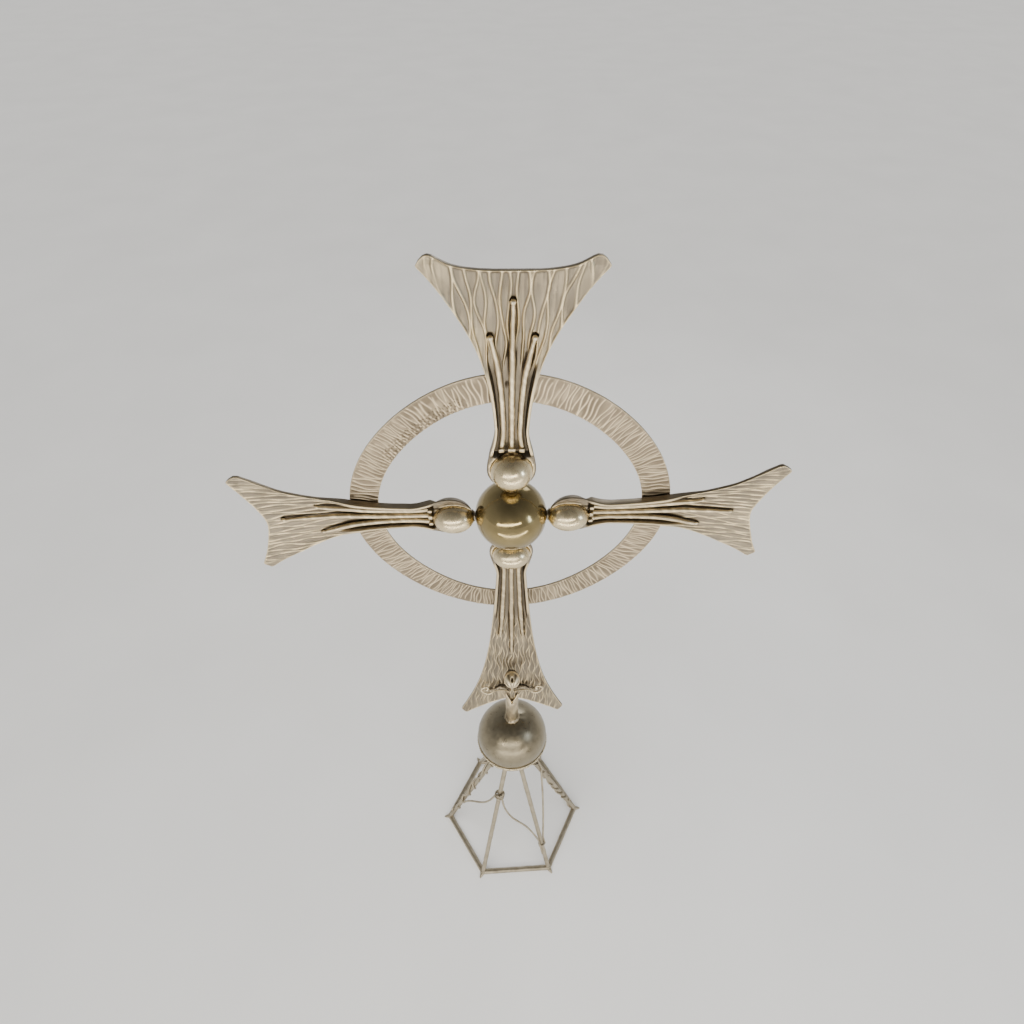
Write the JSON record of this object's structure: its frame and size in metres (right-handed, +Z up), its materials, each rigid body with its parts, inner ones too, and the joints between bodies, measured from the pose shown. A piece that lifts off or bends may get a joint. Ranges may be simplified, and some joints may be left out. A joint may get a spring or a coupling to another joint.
{
  "type": "church ring cross",
  "caption": "Tall bronze ring cross with flared, ridged arms, rods and bulbs, on a ball carried by a six-legged wire-tied stand.",
  "frame": {"origin": "on the floor, on the axis of the stem and the lower ball, at the middle of the part's footprint", "axes": "+Z up along the stem, +X to the right seen from the carved front, +Y to the plain back; the front faces -Y"},
  "size_m": [1.4918, 0.6192, 2.9416],
  "materials": {
    "arm_bronze": "chased and brushed pale bronze, darker in the hollows",
    "ring_bronze": "pale bronze cut by radial chisel strokes",
    "rod_bronze": "rubbed bright bronze",
    "egg_bronze": "satin-polished bronze",
    "ball_bronze": "polished olive-gold bronze",
    "dark_bronze": "dark patinated satin bronze",
    "stem_bronze": "worn satin bronze",
    "stand_metal": "matt grey-beige metal"
  },
  "bodies": {
    "root": {"ring": "ring_bronze", "arm_top": "arm_bronze", "arm_right": "arm_bronze", "arm_bottom": "arm_bronze", "arm_left": "arm_bronze", "egg_top": "egg_bronze", "egg_right": "egg_bronze", "egg_bottom": "egg_bronze", "egg_left": "egg_bronze", "rod_top_left": "rod_bronze", "rod_top_middle": "rod_bronze", "rod_top_right": "rod_bronze", "rod_right_left": "rod_bronze", "rod_right_middle": "rod_bronze", "rod_right_right": "rod_bronze", "rod_bottom_left": "rod_bronze", "rod_bottom_middle": "rod_bronze", "rod_bottom_right": "rod_bronze", "rod_left_left": "rod_bronze", "rod_left_middle": "rod_bronze", "rod_left_right": "rod_bronze", "centre_ball": "ball_bronze", "lower_ball": "dark_bronze", "ball_cup": "stem_bronze", "stem": "stem_bronze", "bud": "stem_bronze", "scroll_left": "stem_bronze", "scroll_right": "stem_bronze", "leg_1": "stand_metal", "leg_2": "stand_metal", "leg_3": "stand_metal", "leg_4": "stand_metal", "leg_5": "stand_metal", "leg_6": "stand_metal", "bar_1": "stand_metal", "bar_2": "stand_metal", "bar_3": "stand_metal", "bar_4": "stand_metal", "bar_5": "stand_metal", "bar_6": "stand_metal", "wire": "stand_metal", "drop_wire": "stand_metal"}
  },
  "joints": []
}
